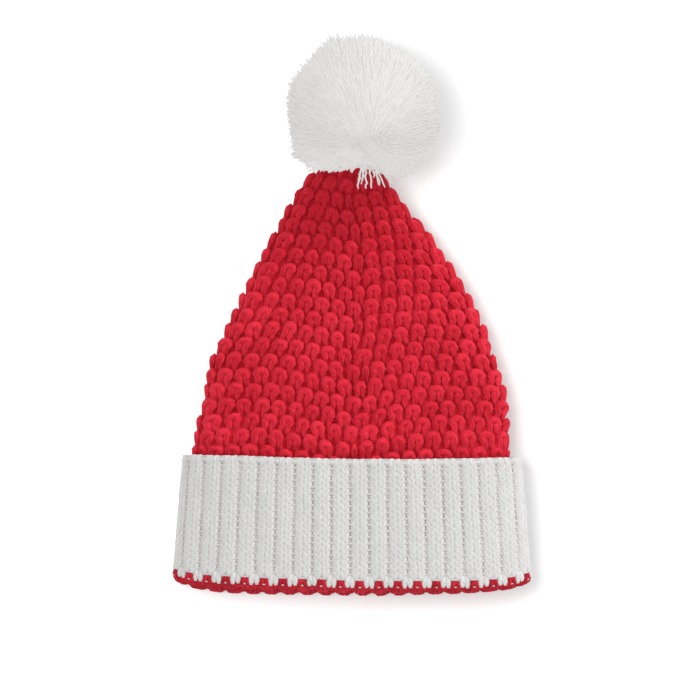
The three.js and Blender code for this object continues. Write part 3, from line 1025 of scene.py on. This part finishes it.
def addCuff():
    rng = np.random.default_rng(11)
    surface = surfaceFor("cuffChart", edgePath(turnUp + cuff["surface"]), cuff["columns"])
    total = surface["along"][-1]
    halfLeg = cuff["legLength"] / 2
    edge = cuffTop - cuffFoot
    faded, low, high = cuff["edgeFade"]

    def relief(v):
        return 1 - faded * float(smoothStep(v, edge - low, edge - high))

    plan = legRows(surface, squareTop + halfLeg - cuffFoot, total - 3 * mm, rng, relief)
    for rib in range(cuff["ribs"]):
        for side in (-1, 1):
            u = (rib + (0 if side > 0 else 1) + side * cuff["toothPlace"]) / cuff["ribs"]
            v = (toothFoot + cuff["toothLength"] / 2 - cuffFoot) / total
            tall = cuff["rowPitch"] / total * (1 + rng.uniform(-1, 1) * cuff["toothHeightSpread"])
            u += rng.uniform(-1, 1) * cuff["toothSpread"] / cuff["ribs"]
            plan.append((u, v, 0.0, 1 / cuff["ribs"], tall, 2 if side < 0 else 3, rng.uniform(-1, 1)))
    motifs = [
        knitLeg("aLeftLeg", -1), knitLeg("bRightLeg", 1),
        hemTooth("cLeftTooth", 1), hemTooth("dRightTooth", -1),
    ]
    legs = knit("cuffStitches", plan, motifs, surface, whiteYarn, cuff["unevenness"])
    bars = barPlan(total, edge, rng)
    motifs = [
        crossBar("aGrooveBar", 2.0 * mm, 0.95 * mm),
        crossBar("bHemBar", 0.8 * mm, 0.4 * mm),
        crossBar("cRolledBar", 3.0 * mm, 1.7 * mm),
        crossBar("dClosingBar", 2.3 * mm, 1.0 * mm),
    ]
    bridges = knit("cuffBridges", bars, motifs, surface, whiteYarn, cuff["unevenness"])
    bpy.data.objects.remove(surface["obj"])
    return [legs, bridges]


def addCuffFabric():
    # The plain wall behind the cuff's stitches.
    radius = form["cuffWall"] / 2
    out, within = turnUp - 1.9 * mm, form["gap"] + 0.15 * mm
    middle, reach = (out + within) / 2, (out - within) / 2
    foot = form["hemLip"] + 1.5 * mm
    edge = cuffTop - radius - 1 * mm
    path = [(distance, out) for distance in np.linspace(foot, edge, 14)]
    path += halfTurn(edge, middle, reach, 6)[:-1]
    path += [(distance, within) for distance in np.linspace(edge, foot, 6)]
    return tubePiece("cuffFabric", tubeGrid(path, cuff["columns"]), whiteShade, looped=True)


# hem

hem = {
    "surface": -1.0 * mm,
    "insideDepth": 18 * mm,
    "underCuff": 7 * mm,
    "insideRows": 12 * mm,
    "relief": 1.6,
    "foldRelief": 2.9,  # it scallops the hem's edge
}


def addHem():
    # Red stitches from a little way up inside the mouth, round the fold and up the lip to the white.
    rng = np.random.default_rng(5)
    radius = foldRadius + hem["surface"]
    deepest, lipEnd = foldRadius + hem["insideDepth"], form["hemLip"] + hem["underCuff"]
    path = [(distance, foldCentre - radius) for distance in np.linspace(deepest, foldRadius, 8)]
    path += halfTurn(foldRadius, foldCentre, -radius, 11)[:-1]
    path += [(distance, foldCentre + radius) for distance in np.linspace(foldRadius, lipEnd, 6)]
    surface = surfaceFor("hemChart", path, cuff["columns"])
    total = surface["along"][-1]
    lipStart = total - (lipEnd - foldRadius) - foldRadius
    foldAt = hem["insideDepth"] + math.pi / 2 * radius

    def relief(v):
        return hem["foldRelief"] if abs(v - foldAt) < cuff["rowPitch"] else hem["relief"]

    topRow = lipStart + squareTop - cuff["legLength"] / 2 + 1.6 * mm
    plan = legRows(surface, topRow, topRow + 1 * mm, rng, relief, innerLegs)
    rows = int((topRow - hem["insideDepth"] + hem["insideRows"]) / cuff["rowPitch"])
    first = topRow - rows * cuff["rowPitch"]
    plan += legRows(surface, first, topRow - 0.5 * cuff["rowPitch"], rng, relief)
    motifs = [knitLeg("aLeftLegRed", -1), knitLeg("bRightLegRed", 1)]
    # the hem's yarn is darker as painted shade
    piece = knit("hemStitches", plan, motifs, surface, redHemYarn, cuff["unevenness"])
    bpy.data.objects.remove(surface["obj"])
    return piece


# pompom

pompom = {
    "knotShift": (0.0015, -0.021, 0.02),  # of the tie from the middle
    "strands": 5900,  # in each of two layers
    "arch": 0.15,  # how far a strand bends up, as a share of its length
    "strandWidth": 1.1 * mm,
    "fluff": 2600,
    "fluffWidth": 0.75 * mm,
    "core": 0.74,
    "coreLumps": 0.135,
    "lumps": 0.045,
    "lumpScale": 3.1,
    "tufts": 0.15,
    "tuftScale": 9.5,
    "tuftStart": 0.28,  # how much of the noise has to be passed before a tuft rises
    "roundness": 5,  # subdivisions of the ball
    "curl": 4.0 * mm,
    "curlScale": 45.0,
    "curlStart": 1.5,  # the higher, the nearer the cut end
    "overCrown": 0.75,  # share of the strands that fall over the crown
    "overFrom": (0.75, 0.95),  # where that begins and is full, as the way towards the crown
    "overAbove": -0.2,  # as the way up
    "yarnLength": 0.045,  # of a strand in its uv map
    "looseEnds": 105,
    "looseRadius": 0.5 * mm,
    "looseAcross": (-37 * mm, 15 * mm),  # of their ends from the tie
    "looseReach": (11 * mm, 17 * mm),
    "longAcross": (-5 * mm, 20 * mm),  # every fifth one is longer
    "longReach": (18 * mm, 26.5 * mm),
    "looseKink": 0.35 * mm,
    "looseStart": (0.3, 0.65),  # share of the way at which it comes out
    "looseAbove": (0.5 * mm, 3.5 * mm),  # the crown
    "looseRise": (1 * mm, 4 * mm),
    "looseSway": 1.5 * mm,
    "looseSpread": 0.15,
    "loosePoints": 7,  # of its centre-line
    "looseEndWidth": 0.8,
    "looseOnBody": (-5 * mm, 0.6 * mm),  # above the pompom, at its root and its end
    "looseSink": 6 * mm,  # how far the root is drawn in
}
pompomOutline = [  # bearing in degrees from +X towards +Y, reach as a share of the ellipse
    (0, 0.99), (45, 0.96), (90, 1.0), (115, 1.03), (160, 1.01), (182, 0.985), (203, 1.01),
    (214, 1.11), (224, 1.06), (234, 0.99), (247, 0.88), (262, 0.76), (280, 0.78), (293, 0.97),
    (309, 1.06), (322, 1.02), (330, 0.94), (336, 1.06), (345, 1.03), (360, 0.99),
]


def pompomSurface(name, share, lumps, tufts=0.0):
    # The pompom's rounded outside, or a copy of it drawn in towards the tie.
    middle = np.array((pompomLow + pompomHigh) / 2)
    tie = middle + np.array(pompom["knotShift"])
    half = np.array((pompomHigh - pompomLow) / 2)
    bpy.ops.mesh.primitive_ico_sphere_add(subdivisions=pompom["roundness"], radius=1)
    ball = bpy.context.object
    ball.name = name
    bearings, reaches = zip(*pompomOutline)
    fullness = []
    for vertex in ball.data.vertices:
        direction = np.array(vertex.co.normalized())
        bearing = math.degrees(math.atan2(direction[1], direction[0])) % 360
        flatness = math.hypot(direction[0], direction[1])
        outline = 1 + (np.interp(bearing, bearings, reaches) - 1) * flatness
        swell = 1 + lumps * noise.noise(Vector(direction) * pompom["lumpScale"])
        tuft = noise.noise(Vector(direction) * pompom["tuftScale"]) - pompom["tuftStart"]
        swell += tufts * max(tuft, 0)
        point = tie + (middle + direction * half * outline * swell - tie) * share
        vertex.co = (point[0], point[1], max(point[2], 2 * restHeight))
        above = direction[2] > pompom["overAbove"]
        towardsCrown = smoothStep(-direction[1], *pompom["overFrom"]) * above
        fullness.append(1 - (1 - pompom["overCrown"]) * float(towardsCrown))
    writeAttribute(ball.data, "fullness", "FLOAT", fullness)
    return ball


def strandTree():
    # Yarn ends from a tie to points scattered over the pompom's outside.
    inputs = {
        "Outside": "Geometry", "Strand": "Object", "Tie": "Vector", "Density": "Float", "Width": "Float",
        "Shortest": "Float", "Longest": "Float", "Curl": "Float", "Curl scale": "Float", "Arch": "Float",
        "Seed": "Int", "Yarn": "Material",
    }
    tree, given, result = nodeTree("tiedYarnEnds", "GeometryNodeTree", inputs, {"Ends": "Geometry"})
    scattered = addNode(tree, "GeometryNodeDistributePointsOnFaces", {
        "Mesh": given["Outside"], "Seed": given["Seed"],
        "Density": addMath(tree, "MULTIPLY", given["Density"], namedAttribute(tree, "fullness", "FLOAT")),
    }).outputs["Points"]
    fromTie = addVectorMath(tree, "SUBTRACT", placeOf(tree), given["Tie"])
    points = storeAttribute(tree, scattered, "reach", "FLOAT_VECTOR", fromTie)
    points = movePoints(tree, points, "Position", given["Tie"])
    reach = namedAttribute(tree, "reach", "FLOAT_VECTOR")
    length = addVectorMath(tree, "LENGTH", reach)
    aim = addNode(tree, "FunctionNodeAlignRotationToVector", {"Vector": reach}, axis="Z")
    values = {2: given["Shortest"], 3: given["Longest"], "Seed": given["Seed"]}
    vary = addNode(tree, "FunctionNodeRandomValue", values, data_type="FLOAT").outputs[1]
    size = addNode(tree, "ShaderNodeCombineXYZ", {
        "X": given["Width"], "Y": given["Width"], "Z": addMath(tree, "MULTIPLY", length, vary),
    })
    tone = addNode(tree, "FunctionNodeRandomValue", {2: -1, 3: 1}, data_type="FLOAT").outputs[1]
    strand = addNode(tree, "GeometryNodeObjectInfo", {"Object": given["Strand"]})
    instances = addNode(tree, "GeometryNodeInstanceOnPoints", {
        "Points": storeAttribute(tree, points, "tone", "FLOAT", tone),
        "Instance": strand.outputs["Geometry"], "Rotation": aim.outputs["Rotation"], "Scale": size.outputs[0],
    })
    real = addNode(tree, "GeometryNodeRealizeInstances", {"Geometry": instances.outputs["Instances"]})
    along = namedAttribute(tree, "free", "FLOAT")
    loose = addMath(tree, "MULTIPLY", addMath(tree, "POWER", along, pompom["curlStart"]), given["Curl"])
    bend = addWobble(tree, given["Curl scale"], 3, loose)
    arc = addMath(tree, "MULTIPLY", along, addMath(tree, "SUBTRACT", 1.0, along))
    rise = addMath(tree, "MULTIPLY", addMath(tree, "MULTIPLY", arc, length), given["Arch"])
    up = addNode(tree, "ShaderNodeCombineXYZ", {"Z": addMath(tree, "MULTIPLY", rise, 4.0)})
    bent = addVectorMath(tree, "ADD", bend, up.outputs[0])
    ends = movePoints(tree, real.outputs["Geometry"], "Offset", bent)
    onTableInYarn(tree, ends, given["Yarn"], result["Ends"])
    return tree


def strandMotif(name, shares, widths, sides):
    # A yarn from the tie at 0 to its cut end at 1, of unit width; its rings at these shares.
    centre = [(0, 0, s) for s in shares]
    strand = strandMesh(centre, np.array(widths) / 2, sides, up=(1.0, 0.0, 0.0))
    mesh = yarnMesh(name, [strand], length=pompom["yarnLength"])
    writeAttribute(mesh, "free", "FLOAT", np.repeat(shares, sides))
    return placed(name, mesh)


def crownTopAt(x, y):
    half, lean, low, top = crownAt(y - crownLow.y)
    fold = low + form["widestAt"] * (top - low)
    across = min(abs(x - lean) / half, 1)
    power = form["upperRoundness"]
    return fold + (top - fold) * (1 - across**power) ** (1 / power)


def pompomTopAt(x, y):
    middle, half = (pompomLow + pompomHigh) / 2, (pompomHigh - pompomLow) / 2
    across, along = (x - middle.x) / half.x, (y - middle.y) / half.y
    outline = np.interp(math.degrees(math.atan2(along, across)) % 360, *zip(*pompomOutline))
    inside = 1 - (across**2 + along**2) / outline**2
    return middle.z + half.z * math.sqrt(inside) if inside > 0 else 0


def addLooseEnds(tie):
    # Single yarns that fall from the tie over the crown's tip.
    rng = np.random.default_rng(21)
    count = pompom["loosePoints"]
    strands = []
    for k in range(pompom["looseEnds"]):
        size = "loose" if k % 5 else "long"
        across = rng.uniform(*pompom[size + "Across"])
        down = rng.uniform(*pompom[size + "Reach"])
        last = np.array(tie) + (across, -down, 0)
        start = rng.uniform(*pompom["looseStart"])
        first = np.array(tie) + (start * across, -start * down, 0)
        last[2] = crownTopAt(last[0], last[1]) + rng.uniform(*pompom["looseAbove"])
        middle = (first + last) / 2
        middle[2] = max(first[2], last[2]) + rng.uniform(*pompom["looseRise"])
        middle[:2] += rng.uniform(-1, 1, 2) * pompom["looseSway"]
        s = np.linspace(0, 1, count)[:, None]
        route = first * (1 - s) ** 2 + 2 * middle * s * (1 - s) + last * s**2
        route[1:-1] += rng.normal(0, pompom["looseKink"], (count - 2, 3))
        onBody = [pompomTopAt(x, y) for x, y, z in route] + np.linspace(*pompom["looseOnBody"], count)
        route[:, 2] = np.maximum(route[:, 2] - np.linspace(pompom["looseSink"], 0, count), onBody)
        varied = 1 + rng.uniform(-1, 1) * pompom["looseSpread"]
        widths = np.append(np.ones(count - 1), pompom["looseEndWidth"]) * pompom["looseRadius"] * varied
        strands.append(strandMesh(route, widths, 5, up=(1.0, 0.0, 0.0)))
    return placed("pompomLooseEnds", yarnMesh("pompomLooseEnds", strands, material=pompomYarn))


def addPompom():
    middle = (pompomLow + pompomHigh) / 2
    tie = middle + Vector(pompom["knotShift"])
    half = (pompomHigh - pompomLow) / 2
    area = 4 * math.pi * (half.x * half.y * half.z) ** (2 / 3)
    tree = strandTree()
    core = pompomSurface("pompomCore", pompom["core"], pompom["coreLumps"])
    core.data.materials.append(pompomShade)
    dropAttributes(smoothed(core.data))
    pieces = [core]
    strandShares = [0.35, 0.55, 0.72, 0.86, 0.96, 1.0], [0.9, 1.0, 1.0, 1.0, 1.0, 0.95]
    fluffShares = [0.72, 0.84, 0.93, 1.0], [1.0, 1.0, 1.0, 0.9]
    strands, width, curl = pompom["strands"], pompom["strandWidth"], pompom["curl"]
    recipes = (  # name, how many, width, shortest, longest, curl, seed, strand
        ("pompomYarnEnds", strands, width, 0.94, 1.0, curl, 3, strandMotif("strandMotif", *strandShares, 3)),
        ("pompomInnerEnds", strands, 1.3 * width, 0.86, 0.97, 1.3 * curl, 5,
         strandMotif("innerMotif", *strandShares, 3)),
        ("pompomFluff", pompom["fluff"], pompom["fluffWidth"], 0.95, 1.03, 1.5 * curl, 8,
         strandMotif("fluffMotif", *fluffShares, 3)),
    )
    for name, count, width, shortest, longest, curl, seed, motif in recipes:
        holder = pompomSurface(name, 1.0, pompom["lumps"], pompom["tufts"])
        values = {
            "Strand": motif, "Tie": tie, "Density": count / area, "Width": width,
            "Shortest": shortest, "Longest": longest, "Curl": curl, "Curl scale": pompom["curlScale"],
            "Arch": pompom["arch"], "Seed": seed, "Yarn": pompomYarn,
        }
        pieces.append(runNodes(holder, tree, values))
        bpy.data.objects.remove(motif)
    return [*pieces, addLooseEnds(tie)]


def dress(pieces, node):
    for piece in pieces:
        gather(piece, "hatPieces")
        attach(piece, "root")
        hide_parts(node)
        triangles = sum(len(face.vertices) - 2 for face in piece.data.polygons)
        print(piece.name, len(piece.data.polygons), "faces,", triangles, "triangles")


dress([addCrown(), addCrownFabric(), addHem()], "crown")
print("crown knitted")
dress([*addCuff(), addCuffFabric()], "cuff")
print("cuff knitted")
dress(addPompom(), "pompom")
print("pompom tied")

# table

table = {"size": 8.0, "color": (0.5, 0.5, 0.5), "roughness": 0.9, "glow": 0.3}


def addTable():
    reach = table["size"] / 2
    corners = [(-reach, -reach, 0), (reach, -reach, 0), (reach, reach, 0), (-reach, reach, 0)]
    material = bpy.data.materials.new("palePaper")
    material.use_nodes = True
    fill(material.node_tree, material.node_tree.nodes["Principled BSDF"], {
        "Base Color": (*table["color"], 1), "Roughness": table["roughness"],
        "Emission Color": (1, 1, 1, 1), "Emission Strength": table["glow"],
    })
    top = placed("table", meshFrom("table", corners, [(0, 1, 2, 3)], material))
    gather(top, "tablePieces")


addTable()
